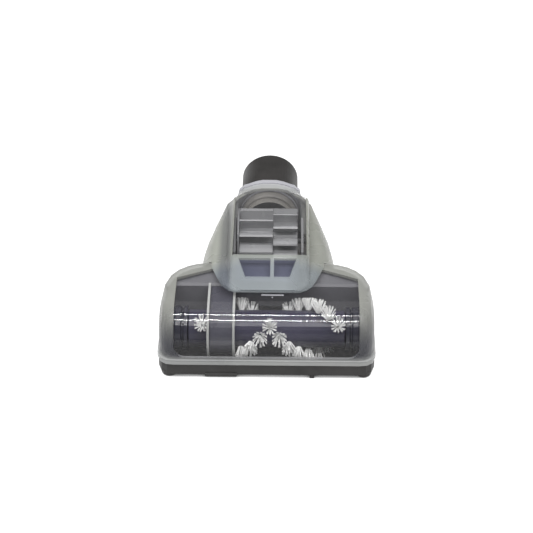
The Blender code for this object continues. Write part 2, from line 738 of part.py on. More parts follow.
def guard_outline(outer, inner, rear):
    """Hook-shaped side outline: a straight roof from the rear, then an arc over the roller's front."""
    steps = 14
    arc = [math.radians(90 + (GUARD_SWEEP - 90) * k / steps) for k in range(steps + 1)]
    outside = [(ROLLER_Y + outer * math.cos(a), ROLLER_Z + outer * math.sin(a)) for a in arc]
    inside = [(ROLLER_Y + inner * math.cos(a), ROLLER_Z + inner * math.sin(a)) for a in arc]
    return [(rear, ROLLER_Z + outer)] + outside + inside[::-1] + [(rear, ROLLER_Z + inner)]


def make_belt_guard():
    rear = Y_FRONT + CHAMBER_REAR - GAP
    half = GUARD_HALF - GAP
    outline = guard_outline(GUARD_RADIUS, GUARD_RADIUS - THIN_WALL, rear)
    add_object("belt_guard", prism(outline, "X", BELT_X - half, BELT_X + half), navy_plastic())
    for side, word in ((-1, "left"), (1, "right")):
        inner = BELT_X + side * GUARD_HALF
        outer = inner + side * THIN_WALL
        rib = guard_outline(TUFT_RADIUS - GAP, GUARD_RADIUS - THIN_WALL, rear)
        add_object("belt_guard_rib_" + word, prism(rib, "X", min(inner, outer), max(inner, outer)),
                   smoke_clear())


def pulley_body(bore, rim, axis, count):
    """A flanged pulley in the belt's plane: the belt runs on the rim between two low flanges."""
    half = PULLEY_WIDTH / 2
    edge = rim + BELT_THICKNESS
    groove = half - PULLEY_FLANGE
    profile = [(-half, bore), (half, bore), (half, edge), (groove, edge), (groove, rim),
               (-groove, rim), (-groove, edge), (-half, edge)]
    return turned([(BELT_X + along, radius) for along, radius in profile], "X", axis, count)


def make_roller():
    axis = (ROLLER_Y, ROLLER_Z)
    origin = (0.0, ROLLER_Y, ROLLER_Z)
    bore = ROLLER_AXLE_RADIUS + GAP
    core = turned([(-CORE_HALF, bore), (CORE_HALF, bore), (CORE_HALF, CORE_RADIUS - CHAMFER),
                   (CORE_HALF - CHAMFER, CORE_RADIUS), (-CORE_HALF + CHAMFER, CORE_RADIUS),
                   (-CORE_HALF, CORE_RADIUS - CHAMFER)], "X", axis, 32)
    add_object("roller_core", core, navy_plastic(), origin)
    pulley = pulley_body(CORE_RADIUS + GAP, PULLEY_RADIUS, axis, 32)
    add_object("roller_pulley", pulley, dark_plastic(), origin)
    for side, word in ((-1, "left"), (1, "right")):
        near = CORE_HALF + GAP
        far = CORE_HALF + CAP_LENGTH
        groove = CAP_RADIUS - CAP_GROOVE
        step = CHAMFER
        profile = [(near, bore), (far, bore), (far, groove), (far - step, CAP_RADIUS - step),
                   (far - 3 * step, CAP_RADIUS), (near + CAP_RIM + 3 * step, CAP_RADIUS),
                   (near + CAP_RIM + 2 * step, groove), (near + CAP_RIM + step, groove),
                   (near + CAP_RIM, CAP_RADIUS), (near, CAP_RADIUS)]
        placed = [(side * along, radius) for along, radius in profile]
        add_object("roller_cap_" + word, turned(placed, "X", axis, 32), dark_plastic(), origin)
    end = HALF - WALL - 2 * GAP
    add_object("roller_axle", rod([(-end, ROLLER_AXLE_RADIUS), (end, ROLLER_AXLE_RADIUS)], "X", axis, 20),
               steel(), origin)


def strip_ring(x, angle, height, width):
    """One cross outline of a bristle strip: it stands on the core and is as tall as it is told."""
    inner = CORE_RADIUS + GAP
    outward = Vector((0.0, math.cos(angle), math.sin(angle)))
    aside = Vector((0.0, -math.sin(angle), math.cos(angle)))
    middle = Vector((x, ROLLER_Y, ROLLER_Z))
    foot = STRIP_WIDTH / 2
    top = width / 2
    return [middle + outward * inner - aside * foot, middle + outward * inner + aside * foot,
            middle + outward * (inner + height) + aside * top,
            middle + outward * (inner + height) - aside * top]


def strip_angle(x, phase):
    """The rows make a V: the tufts turn round the core on both sides of the middle."""
    return phase + TUFT_TURN * abs(x - TUFT_MIDDLE) / TUFT_PITCH


def bristle_strip(name, tufts, phase):
    """A thin backing strip with one upright tuft at each place, made as one body."""
    origin = (0.0, ROLLER_Y, ROLLER_Z)
    tall = TUFT_RADIUS - CORE_RADIUS - GAP
    rings = []
    for x in tufts:
        half = TUFT_WIDTH / 2
        for offset, height, width in ((-half - GAP, STRIP_HEIGHT, STRIP_WIDTH),
                                      (-half * 0.98, tall, STRIP_WIDTH + TUFT_FLARE),
                                      (0.0, tall, STRIP_WIDTH + 2 * TUFT_FLARE),
                                      (half * 0.98, tall, STRIP_WIDTH + TUFT_FLARE),
                                      (half + GAP, STRIP_HEIGHT, STRIP_WIDTH)):
            here = x + offset
            rings.append(strip_ring(here, strip_angle(here, phase), height, width))
    add_object(name, loft(rings), bristle_white(), origin)


def make_bristles():
    places = [TUFT_MIDDLE + k * TUFT_PITCH for k in range(-TUFT_COUNT, TUFT_COUNT + 1)]
    clear = GUARD_HALF + THIN_WALL + TUFT_WIDTH / 2 + 2 * GAP
    left = [x for x in places if x < BELT_X - clear]
    main = [x for x in places if x > BELT_X + clear]
    for phase, word in ((ROW_PHASE, "a"), (ROW_PHASE + math.pi, "b")):
        bristle_strip("bristle_row_%s_left" % word, left, phase)
        bristle_strip("bristle_row_%s_main" % word, main, phase)


def make_roller_bearings():
    near = CORE_HALF + CAP_LENGTH + BEARING_GAP
    far = HALF - WALL - GAP
    for side, word in ((-1, "left"), (1, "right")):
        low = min(side * near, side * far)
        high = max(side * near, side * far)
        reach = BEARING_HALF
        outline = [(ROLLER_Y - reach, SOLE_TOP + GAP), (ROLLER_Y + reach, SOLE_TOP + GAP)]
        for step in range(9):
            angle = math.radians(180 * step / 8)
            outline.append((ROLLER_Y + reach * math.cos(angle), ROLLER_Z + reach * math.sin(angle)))
        hole = rod([(low - EPS, ROLLER_AXLE_RADIUS + GAP), (high + EPS, ROLLER_AXLE_RADIUS + GAP)], "X",
                   (ROLLER_Y, ROLLER_Z), 20)
        add_object("roller_bearing_" + word, minus(prism(outline, "X", low, high), hole), grey_plastic())


# One blade, as shares: of the pitch round the hub, and of the way from the hub to the rim
BLADE_SHAPE = [(0.00, 0.00), (0.16, 0.39), (0.36, 0.74), (0.52, 1.00), (0.62, 1.00), (0.50, 0.61),
               (0.36, 0.30), (0.30, 0.00)]


def blade_outline(start):
    """Side outline of a turbine wheel: a hub with curved blades that lean back."""
    outline = []
    pitch = 2 * math.pi / TURBINE_BLADES
    for k in range(TURBINE_BLADES):
        base = start + k * pitch
        for share, rise in BLADE_SHAPE:
            radius = HUB_RADIUS + rise * (TURBINE_RADIUS - HUB_RADIUS)
            angle = base + share * pitch
            outline.append((TURBINE_Y + radius * math.cos(angle), TURBINE_Z + radius * math.sin(angle)))
    return outline


def make_turbine():
    axis = (TURBINE_Y, TURBINE_Z)
    origin = (0.0, TURBINE_Y, TURBINE_Z)
    bore = SHAFT_RADIUS + GAP
    half = TURBINE_HALF
    for word, low, high, start in (("left", -half, TURBINE_SPLIT - GAP / 2, 0.0),
                                   ("right", TURBINE_SPLIT + GAP / 2, half, math.pi / TURBINE_BLADES)):
        wheel = prism(blade_outline(start), "X", low, high)
        hole = rod([(low - EPS, bore), (high + EPS, bore)], "X", axis, 20)
        add_object("turbine_wheel_" + word, minus(wheel, hole), grey_plastic(), origin, 25.0)
    disc = turned([(-half - GAP - DISC_THICKNESS, bore), (-half - GAP, bore), (-half - GAP, TURBINE_RADIUS),
                   (-half - GAP - DISC_THICKNESS, TURBINE_RADIUS)], "X", axis, 40)
    add_object("turbine_disc", disc, grey_plastic(), origin)
    left_end = BELT_X - PULLEY_WIDTH / 2 - SHAFT_OVERHANG / 2
    right_end = PLATE_INNER + THIN_WALL + SHAFT_OVERHANG
    shaft = rod([(left_end, SHAFT_RADIUS), (right_end, SHAFT_RADIUS)], "X", axis, 16)
    add_object("turbine_shaft", shaft, steel(), origin)
    pinion = pulley_body(bore, PINION_RADIUS, axis, 20)
    add_object("turbine_pinion", pinion, dark_plastic(), origin)


def make_turbine_plates():
    for side, word in ((-1, "left"), (1, "right")):
        low = min(side * PLATE_INNER, side * (PLATE_INNER + THIN_WALL))
        high = max(side * PLATE_INNER, side * (PLATE_INNER + THIN_WALL))
        reach = TURBINE_RADIUS - PLATE_INSET
        top = SHOULDER_TOP - WALL - PLATE_TOP_ROOM
        slope = PLATE_SHOULDER
        outline = [(TURBINE_Y - reach, SOLE_TOP + GAP), (TURBINE_Y + reach, SOLE_TOP + GAP),
                   (TURBINE_Y + reach, top - slope), (TURBINE_Y + reach - slope, top),
                   (TURBINE_Y - reach + slope, top), (TURBINE_Y - reach, top - slope)]
        hole = rod([(low - EPS, BUSH_RADIUS + GAP), (high + EPS, BUSH_RADIUS + GAP)], "X",
                   (TURBINE_Y, TURBINE_Z), 24)
        add_object("turbine_plate_" + word, minus(prism(outline, "X", low, high), hole), grey_plastic())
        bush = turned([(low, SHAFT_RADIUS + GAP), (high, SHAFT_RADIUS + GAP), (high, BUSH_RADIUS),
                       (low, BUSH_RADIUS)], "X", (TURBINE_Y, TURBINE_Z), 24)
        add_object("turbine_bush_" + word, bush, steel())


def belt_path(offset):
    """The belt's side outline, a given distance outside the two pulleys' rims."""
    large = PULLEY_RADIUS + offset
    small = PINION_RADIUS + offset
    run = Vector((TURBINE_Y - ROLLER_Y, TURBINE_Z - ROLLER_Z))
    lean = math.atan2(run.y, run.x)
    spread = math.acos((PULLEY_RADIUS - PINION_RADIUS) / run.length)
    points = []
    for k in range(21):
        angle = lean + spread + (2 * math.pi - 2 * spread) * k / 20
        points.append((ROLLER_Y + large * math.cos(angle), ROLLER_Z + large * math.sin(angle)))
    for k in range(11):
        angle = lean - spread + 2 * spread * k / 10
        points.append((TURBINE_Y + small * math.cos(angle), TURBINE_Z + small * math.sin(angle)))
    return points


def make_belt():
    low = BELT_X - BELT_WIDTH / 2
    high = BELT_X + BELT_WIDTH / 2
    slack = BELT_SLACK
    outer = prism(belt_path(slack + BELT_THICKNESS), "X", low, high)
    inner = prism(belt_path(slack), "X", low - EPS, high + EPS)
    add_object("drive_belt", minus(outer, inner), rubber(), smooth_angle=20.0)


def make_collar_and_neck():
    axis = (0.0, NECK_Z)
    origin = (0.0, Y_FRONT + TAIL_END, NECK_Z)
    start = Y_FRONT + TAIL_END + GAP
    end = Y_FRONT + TAIL_END + COLLAR_LENGTH
    inner = NECK_RADIUS + GAP
    rings = [[Vector((x, along, z)) for x, _, z in tail_section(TAIL_END, inset, COLLAR_BOTTOM)]
             for along, inset in ((start, COLLAR_GROOVE), (start + COLLAR_GROOVE * 0.7, COLLAR_GROOVE),
                                  (start + COLLAR_GROOVE, 0.0), (end - WALL, GAP), (end, COLLAR_TAPER))]
    hole = rod([(start - EPS, inner), (end + EPS, inner)], "Y", axis, 56)
    add_object("neck_collar", minus(loft(rings), hole), light_grey_plastic())
    seat_front = Y_FRONT + SEAT_START
    seat = turned([(seat_front, inner), (seat_front + SEAT_LENGTH, inner),
                   (seat_front + SEAT_LENGTH, SEAT_RADIUS), (seat_front, SEAT_RADIUS)], "Y", axis, 48)
    add_object("neck_seat_ring", seat, light_grey_plastic())
    bore = NECK_RADIUS - NECK_WALL
    inside = Y_FRONT + TAIL_END - NECK_INSIDE
    outside = Y_FRONT + NECK_END
    flange_end = Y_FRONT + TAIL_END - GAP
    flange_start = flange_end - FLANGE_LENGTH + GAP
    edge = NECK_EDGE
    nose = NECK_RADIUS - NECK_NOSE_DROP
    shoulder = inside + NECK_NOSE_LENGTH
    tube = turned([(inside, bore), (outside - edge, bore), (outside, bore + edge),
                   (outside, NECK_RADIUS - edge), (outside - edge, NECK_RADIUS),
                   (flange_end, NECK_RADIUS), (flange_end, FLANGE_RADIUS), (flange_start, FLANGE_RADIUS),
                   (flange_start, NECK_RADIUS), (shoulder + edge, NECK_RADIUS),
                   (shoulder, NECK_RADIUS - edge), (shoulder, nose), (inside + edge, nose),
                   (inside, nose - edge)], "Y", axis, 56)
    add_object("neck_tube", tube, dark_plastic(), origin)


def make_rear_wheels():
    for side, word in ((-1, "left"), (1, "right")):
        middle = side * WHEEL_X
        origin = (middle, WHEEL_Y, WHEEL_RADIUS)
        half = WHEEL_WIDTH / 2
        bore = WHEEL_PIN_RADIUS + GAP
        shoulder = half - CHAMFER
        profile = [(-half, bore), (half, bore), (half, WHEEL_RADIUS - CHAMFER), (shoulder, WHEEL_RADIUS),
                   (-shoulder, WHEEL_RADIUS), (-half, WHEEL_RADIUS - CHAMFER)]
        placed = [(middle + along, radius) for along, radius in profile]
        wheel = turned(placed, "X", (WHEEL_Y, WHEEL_RADIUS), 32)
        add_object("rear_wheel_" + word, wheel, light_grey_plastic(), origin)
        reach = half + WHEEL_SIDE_GAP + THIN_WALL
        pin = rod([(middle - reach, WHEEL_PIN_RADIUS), (middle + reach, WHEEL_PIN_RADIUS)], "X",
                  (WHEEL_Y, WHEEL_RADIUS), 16)
        add_object("wheel_pin_" + word, pin, steel())


def build():
    clear_scene()
    make_base_shell()
    make_screws()
    make_head_frame()
    make_window()
    make_tail_cover()
    make_turbine_window()
    make_inlet_tray()
    make_chamber_wall()
    make_belt_guard()
    make_roller()
    make_bristles()
    make_roller_bearings()
    make_turbine()
    make_turbine_plates()
    make_belt()
    make_collar_and_neck()
    make_rear_wheels()


build()
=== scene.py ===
import json
import math
import random

import bmesh
import bpy
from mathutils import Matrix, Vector


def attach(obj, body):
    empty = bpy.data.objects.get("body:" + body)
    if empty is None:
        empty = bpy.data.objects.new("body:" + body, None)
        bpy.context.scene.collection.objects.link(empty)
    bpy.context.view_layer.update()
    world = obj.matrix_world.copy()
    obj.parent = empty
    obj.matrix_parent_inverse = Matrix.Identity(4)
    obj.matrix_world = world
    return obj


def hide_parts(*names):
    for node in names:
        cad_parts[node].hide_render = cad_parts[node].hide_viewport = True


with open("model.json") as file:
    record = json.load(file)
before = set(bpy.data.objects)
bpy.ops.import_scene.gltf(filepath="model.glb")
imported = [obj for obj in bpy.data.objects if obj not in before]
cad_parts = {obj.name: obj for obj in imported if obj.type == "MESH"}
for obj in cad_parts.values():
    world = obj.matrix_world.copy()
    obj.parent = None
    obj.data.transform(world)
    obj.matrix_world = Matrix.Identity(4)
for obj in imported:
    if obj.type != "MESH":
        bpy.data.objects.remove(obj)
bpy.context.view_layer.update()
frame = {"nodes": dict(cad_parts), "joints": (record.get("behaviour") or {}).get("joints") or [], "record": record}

random.seed(7)

# All lengths are in metres, unless a name or comment says otherwise

# Camera: angles in degrees, sensor in millimetres, and the lens in pixels of an image this wide
IMAGE_WIDTH = 533
FOCAL_PIXELS = 1573.0
SENSOR = 36.0
CAMERA_DISTANCE = 1.15
CAMERA_ELEVATION = 36.0
CAMERA_AZIMUTH = -0.84
CAMERA_TARGET = (-0.00125, -0.0105, 0.0265)
CLIP_NEAR = 0.01
CLIP_FAR = 200.0

# Lamps: power in watts, and the strips' height over the roller as an angle in degrees
CEILING_PLACE = (0.0, 0.35, 1.3)
CEILING_SIZE = (1.6, 1.0)
CEILING_AIM = (0.0, 0.0, 0.02)
CEILING_POWER = 4.5
STRIP_ELEVATIONS = (62.5, 79.5)
STRIP_DISTANCE = 1.0
STRIP_SIZE = (1.4, 0.038)
STRIP_POWER = 7.5
# How much the world lights the object from all round
WORLD_LIGHT = 0.32

# Floor: its reach to each side, how far it lies under the feet, and its shades in the open and in the painted
# shadow under the roller's opening
FLOOR_REACH = 60.0
FLOOR_DROP = 0.0002
FLOOR_SHADE = 0.30
PAINTED_SHADOW_GREY = 0.04
# How much the floor glows towards the camera, on top of the light that falls on it
FLOOR_GLOW = 0.90
# How near the object shades that glow, and the shares of open sky at which it is gone and whole
SHADOW_REACH = 0.025
SHADOW_RANGE = (0.10, 0.50)

# Bristle tufts, as the solids place them
TUFT_PITCH = 0.0067
TUFT_MIDDLE = 0.0022
TUFT_COUNT = 7
TUFT_TURN = math.radians(25.0)
ROW_PHASE = math.radians(138.0)
CORE_RADIUS = 0.0130
TUFT_RADIUS = 0.0219
GUARD_MIDDLE = -0.0315
GUARD_REACH = 0.0098
GUARD_CLEAR = 0.0123

# Hairs: how many clumps make a tuft and how many hairs a clump, and how far tips and roots fan out
CLUMPS = 26
HAIRS_IN_CLUMP = 8
FAN = 0.0049
ROOT_FAN = 0.0015
ROOT_LIFT = 0.0003
# A hair's own thickness, its share of that at the tip, and the directions of its corners in radians
HAIR_RADIUS = 0.00021
HAIR_TIP_SHARE = 0.55
HAIR_CORNERS = (0.0, 2.094, 4.189)
# Chance in a tuft: where clumps stand, how the inner ones fan, and how single hairs turn, fan and lean
CLUMP_STRAY = 0.4
INNER_SPREAD = (0.1, 0.75)
HAIR_STRAY = 0.13
LEAST_SHARE = 0.80
LEAN_STRAY = 0.0012

# Boxes, by middle and half size: the floor under the roller's opening, which gets a painted shadow, and the
# insides of both chambers, the roller's with painted shade
PAINTED_SHADOW_BOX = ((0.0, -0.0790, 0.0), (0.0640, 0.0195, 1.0))
ROLLER_CHAMBER = ((0.0, -0.0790, 0.0205), (0.0665, 0.0215, 0.0180))
TURBINE_CHAMBER = ((0.0, 0.0176, 0.0300), (0.0300, 0.0300, 0.0255))
# How far beyond such a box its effect fades out
BOX_FADE = 0.002

# Marks on the clear cover, by left front corner, right back corner and edge radius
COVER_TOP = 0.0480
MARK_RISE = 0.0004
COVER_BAR = ((-0.0040, -0.0742), (0.0116, -0.0734), 0.00025)
COVER_DOT = ((0.0032, -0.0768), (0.0042, -0.0758), 0.00035)
# Latch slot in each side of the rim, by its near and far end along each axis, and its edge radius
SLOT_X = (0.0700, 0.0716)
SLOT_Y = (-0.0562, -0.0532)
SLOT_Z = (0.0385, 0.0402)
SLOT_EDGE = 0.0004

# Shells that get a smooth copy: corners nearer than WELD become one, faces that meet at less than
# FLAT_ANGLE become one, and those that meet at less than SMOOTH_ANGLE are shaded as one surface
SHELLS = ("head_frame", "roller_window", "tail_cover", "turbine_window")
WELD = 0.00002
FLAT_ANGLE = math.radians(0.4)
SMOOTH_ANGLE = math.radians(35.0)

# Materials: the range that most of a noise's values lie in, its detail, and the depth of a bump
NOISE_RANGE = (0.3, 0.7)
NOISE_DETAIL = 4.0
BUMP_DEPTH = 0.0002
# How strongly the clear covers reflect, as an index of refraction
COVER_IOR = 1.58
# Colour sockets of the mix node, which share their names with its sockets of other kinds
MIX_FIRST = 6
MIX_SECOND = 7
MIX_RESULT = 2

nodes = frame["nodes"]


def joint_place(name):
    """Where a joint of the frame stands."""
    for joint in frame["joints"]:
        if joint["name"] == name:
            return Vector(joint["pos_m"])
    raise ValueError(name)


ROLLER = joint_place("brush_spin")


def add_camera():
    camera = bpy.data.cameras.new("camera")
    camera.sensor_fit = "HORIZONTAL"
    camera.sensor_width = SENSOR
    camera.lens = FOCAL_PIXELS / IMAGE_WIDTH * SENSOR
    camera.clip_start = CLIP_NEAR
    camera.clip_end = CLIP_FAR
    placed = bpy.data.objects.new("camera", camera)
    bpy.context.scene.collection.objects.link(placed)
    rise = math.radians(CAMERA_ELEVATION)
    turn = math.radians(CAMERA_AZIMUTH)
    back = Vector((-math.sin(turn) * math.cos(rise), -math.cos(turn) * math.cos(rise), math.sin(rise)))
    placed.location = Vector(CAMERA_TARGET) + back * CAMERA_DISTANCE
    placed.rotation_euler = back.to_track_quat("Z", "Y").to_euler()
    bpy.context.scene.camera = placed


def set_colour_handling():
    """Shows white as white, without a film curve."""
    bpy.context.scene.view_settings.view_transform = "Standard"


def area_light(name, place, size, power, aim):
    light = bpy.data.lights.new(name, "AREA")
    light.shape = "RECTANGLE"
    light.size = size[0]
    light.size_y = size[1]
    light.energy = power
    placed = bpy.data.objects.new(name, light)
    bpy.context.scene.collection.objects.link(placed)
    placed.location = place
    placed.rotation_euler = (Vector(place) - Vector(aim)).to_track_quat("Z", "Y").to_euler()


def strip_place(elevation):
    """A place in front of and above the head, from which a strip lamp lights the curved cover."""
    rise = math.radians(elevation)
    return (0.0, ROLLER.y - STRIP_DISTANCE * math.cos(rise), ROLLER.z + STRIP_DISTANCE * math.sin(rise))


def add_lights():
    """A large soft ceiling, two strip lamps in front, which draw the bright lines, and an even world."""
    area_light("ceiling", CEILING_PLACE, CEILING_SIZE, CEILING_POWER, CEILING_AIM)
    for elevation in STRIP_ELEVATIONS:
        area_light("strip_%d" % elevation, strip_place(elevation), STRIP_SIZE, STRIP_POWER, ROLLER)
    world = bpy.data.worlds.new("studio")
    bpy.context.scene.world = world
    world.use_nodes = True
    shade = world.node_tree.nodes["Background"]
    shade.inputs["Color"].default_value = (1.0, 1.0, 1.0, 1.0)
    shade.inputs["Strength"].default_value = WORLD_LIGHT


def math_node(tree, operation, *terms):
    """One step of arithmetic on sockets and plain numbers."""
    node = tree.nodes.new("ShaderNodeMath")
    node.operation = operation
    for term, socket in zip(terms, node.inputs):
        if isinstance(term, float):
            socket.default_value = term
        else:
            tree.links.new(term, socket)
    return node.outputs["Value"]


def map_range(tree, source, low, high, start, end):
    """A value that goes from low to high while its source goes from start to end."""
    node = tree.nodes.new("ShaderNodeMapRange")
    node.inputs["From Min"].default_value = start
    node.inputs["From Max"].default_value = end
    node.inputs["To Min"].default_value = low
    node.inputs["To Max"].default_value = high
    tree.links.new(source, node.inputs["Value"])
    return node.outputs["Result"]


def outside_box(tree, middle, reach):
    """0 within a box in the object's own frame, and 1 from a little beyond it."""
    place = tree.nodes.new("ShaderNodeTexCoord").outputs["Object"]
    away = tree.nodes.new("ShaderNodeVectorMath")
    away.operation = "SUBTRACT"
    away.inputs[1].default_value = middle
    tree.links.new(place, away.inputs[0])
    parts = tree.nodes.new("ShaderNodeSeparateXYZ")
    tree.links.new(away.outputs["Vector"], parts.inputs["Vector"])
    farthest = 0.0
    for name, half in zip("XYZ", reach):
        size = math_node(tree, "ABSOLUTE", parts.outputs[name])
        past = map_range(tree, size, 0.0, 1.0, half, half + BOX_FADE)
        farthest = math_node(tree, "MAXIMUM", farthest, past)
    return farthest


def grey(shade):
    return (shade, shade, shade)


class Finish:
    """A node material around one Principled shader, with short helpers for its nodes."""

    def __init__(self, name, roughness, **sockets):
        self.material = bpy.data.materials.new(name)
        self.material.use_nodes = True
        self.tree = self.material.node_tree
        self.shader = self.tree.nodes["Principled BSDF"]
        self.shader.inputs["Roughness"].default_value = roughness
        for socket, value in sockets.items():
            self.shader.inputs[socket.replace("_", " ")].default_value = value
        self.place = self.tree.nodes.new("ShaderNodeTexCoord").outputs["Object"]

    def link(self, source, target):
        self.tree.links.new(source, target)

    def noise(self, scale, stretch=None):
        """Soft noise over the object's own frame, drawn out along an axis where stretch asks for it."""
        node = self.tree.nodes.new("ShaderNodeTexNoise")
        node.inputs["Scale"].default_value = scale
        node.inputs["Detail"].default_value = NOISE_DETAIL
        place = self.place
        if stretch:
            mapping = self.tree.nodes.new("ShaderNodeMapping")
            mapping.inputs["Scale"].default_value = stretch
            self.link(place, mapping.inputs["Vector"])
            place = mapping.outputs["Vector"]
        self.link(place, node.inputs["Vector"])
        return node.outputs["Fac"]

    def ramp(self, source, stops):
        """Colours that follow one another along a source between 0 and 1."""
        node = self.tree.nodes.new("ShaderNodeValToRGB")
        points = node.color_ramp.elements
        while len(points) < len(stops):
            points.new(0.5)
        for point, (place, tone) in zip(points, stops):
            point.position = place
            point.color = (*tone, 1.0)
        self.link(source, node.inputs["Fac"])
        return node.outputs["Color"]

    def axis(self, name):
        """One coordinate of the object's own frame."""
        parts = self.tree.nodes.new("ShaderNodeSeparateXYZ")
        self.link(self.place, parts.inputs["Vector"])
        return parts.outputs[name]

    def from_axis(self):
        """Distance from the object's own X axis, which a wheel turns about."""
        flat = self.tree.nodes.new("ShaderNodeMapping")
        flat.inputs["Scale"].default_value = (0.0, 1.0, 1.0)
        self.link(self.place, flat.inputs["Vector"])
        size = self.tree.nodes.new("ShaderNodeVectorMath")
        size.operation = "LENGTH"
        self.link(flat.outputs["Vector"], size.inputs[0])
        return size.outputs["Value"]

    def bands(self, source, stops):
        """Colours in bands along a length, from the first stop to the last."""
        low = stops[0][0]
        high = stops[-1][0]
        shares = [((place - low) / (high - low), tone) for place, tone in stops]
        return self.ramp(map_range(self.tree, source, 0.0, 1.0, low, high), shares)

    def tint(self, tone):
        """Multiplies the base colour by a tone that varies over the surface."""
        mix = self.tree.nodes.new("ShaderNodeMix")
        mix.data_type = "RGBA"
        mix.blend_type = "MULTIPLY"
        mix.inputs["Factor"].default_value = 1.0
        self.link(self.shader.inputs["Base Color"].links[0].from_socket, mix.inputs[MIX_FIRST])
        self.link(tone, mix.inputs[MIX_SECOND])
        self.link(mix.outputs[MIX_RESULT], self.shader.inputs["Base Color"])
        return self

    def colour(self, low, high, scale):
        tone = self.ramp(self.noise(scale), list(zip(NOISE_RANGE, (low, high))))
        self.link(tone, self.shader.inputs["Base Color"])
        return self

    def rough(self, low, high, scale):
        value = map_range(self.tree, self.noise(scale), low, high, *NOISE_RANGE)
        self.link(value, self.shader.inputs["Roughness"])
        return self

    def bump(self, scale, strength, stretch=None):
        node = self.tree.nodes.new("ShaderNodeBump")
        node.inputs["Strength"].default_value = strength
        node.inputs["Distance"].default_value = BUMP_DEPTH
        self.link(self.noise(scale, stretch), node.inputs["Height"])
        self.link(node.outputs["Normal"], self.shader.inputs["Normal"])
        return self

    def see_through(self, facing, grazing, start=0.0):
        """Alpha that rises from facing to grazing where the surface turns away, from start onwards."""
        weight = self.tree.nodes.new("ShaderNodeLayerWeight")
        weight.inputs["Blend"].default_value = 0.5
        rise = map_range(self.tree, weight.outputs["Facing"], facing, grazing, start, 1.0)
        self.link(rise, self.shader.inputs["Alpha"])
        return self

    def polish(self, roughness, share):
        """A clear gloss on the outside, which keeps its full strength where the body is see-through."""
        gloss = self.tree.nodes.new("ShaderNodeBsdfGlossy")
        gloss.inputs["Roughness"].default_value = roughness
        gloss.inputs["Color"].default_value = (*grey(share), 1.0)
        fresnel = self.tree.nodes.new("ShaderNodeFresnel")
        fresnel.inputs["IOR"].default_value = COVER_IOR
        inside = self.tree.nodes.new("ShaderNodeNewGeometry").outputs["Backfacing"]
        outside = math_node(self.tree, "SUBTRACT", 1.0, inside)
        mix = self.tree.nodes.new("ShaderNodeMixShader")
        self.link(math_node(self.tree, "MULTIPLY", fresnel.outputs["Fac"], outside), mix.inputs["Fac"])
        self.link(self.shader.outputs["BSDF"], mix.inputs[1])
        self.link(gloss.outputs["BSDF"], mix.inputs[2])
        self.link(mix.outputs["Shader"], self.tree.nodes["Material Output"].inputs["Surface"])
        return self


def head_smoke():
    """The head's rim: painted light makes it pale along the lip and the roof, and painted shade makes it darker
    down its sides, over the dark base.
    """
    finish = Finish("smoke_head", 0.30, Specular_IOR_Level=0.4)
    finish.colour((0.62, 0.63, 0.61), (0.72, 0.73, 0.70), 18.0)
    # Painted light and shade by height: a pale lip and roof, with dark sides between them
    painted_shading = finish.bands(finish.axis("Z"), (
        (0.0080, (0.82, 0.82, 0.84)),
        (0.0145, (0.82, 0.82, 0.84)),
        (0.0185, (0.15, 0.15, 0.18)),
        (0.0280, (0.17, 0.17, 0.20)),
        (0.0420, (0.38, 0.38, 0.37)),
        (0.0480, (0.44, 0.44, 0.42)),
        (0.0500, (0.44, 0.44, 0.42)),
    ))
    return finish.tint(painted_shading).rough(0.24, 0.36, 30.0).bump(1800.0, 0.12).see_through(0.42, 0.90).material


def tail_smoke():
    """The tail's shoulders: warm grey, cooler round the air inlet, and with painted shade darker over the belt's
    passage and down the right side.
    """
    finish = Finish("smoke_tail", 0.30, Specular_IOR_Level=0.4)
    finish.colour((0.56, 0.57, 0.54), (0.64, 0.65, 0.61), 18.0)
    back = finish.bands(finish.axis("Y"), (
        (-0.0800, (0.48, 0.52, 0.58)),
        (-0.0500, (0.48, 0.52, 0.58)),
        (-0.0360, (0.64, 0.65, 0.62)),
        (0.0500, (0.66, 0.66, 0.62)),
        (0.0540, (0.76, 0.76, 0.81)),
        (0.0700, (0.76, 0.76, 0.81)),
    ))
    # Painted shade across the shoulders: darker over the belt's passage and down the right side
    across = finish.bands(finish.axis("X"), (
        (-0.0600, grey(1.0)),
        (-0.0370, grey(1.0)),
        (-0.0330, (0.58, 0.58, 0.62)),
        (-0.0280, (0.50, 0.50, 0.55)),
        (-0.0245, grey(1.0)),
        (0.0120, grey(1.0)),
        (0.0230, grey(0.80)),
        (0.0600, grey(0.80)),
    ))
    finish.tint(back).tint(across)
    return finish.rough(0.24, 0.36, 30.0).bump(1800.0, 0.12).see_through(0.38, 0.90).material


def neck_plastic():
    """Almost black outside, and a dusty grey on the neck's inner end, which shows through the cover."""
    finish = Finish("neck_plastic", 0.50, Specular_IOR_Level=0.3)
    finish.colour((0.60, 0.58, 0.56), (0.90, 0.87, 0.84), 60.0)
    along = finish.bands(finish.axis("Y"), (
        (0.0400, (0.27, 0.265, 0.25)),
        (0.0600, (0.24, 0.235, 0.225)),
        (0.0625, (0.036, 0.035, 0.035)),
        (0.0800, (0.036, 0.035, 0.035)),
    ))
    return finish.tint(along).rough(0.40, 0.56, 45.0).bump(2600.0, 0.25).material


def wall_grey():
    """The wall behind the roller, with painted shade making it a little darker along its roof than down its face.
    """
    finish = Finish("wall_grey", 0.40, Specular_IOR_Level=0.3)
    finish.colour((0.144, 0.143, 0.156), (0.172, 0.171, 0.184), 40.0)
    # Painted shade: the roof is darker than the face
    painted_shading = finish.bands(finish.axis("Z"), (
        (0.0300, grey(1.0)),
        (0.0420, grey(1.0)),
        (0.0440, grey(0.88)),
        (0.0500, grey(0.88)),
    ))
    return finish.tint(painted_shading).rough(0.34, 0.46, 45.0).bump(1500.0, 0.15).material


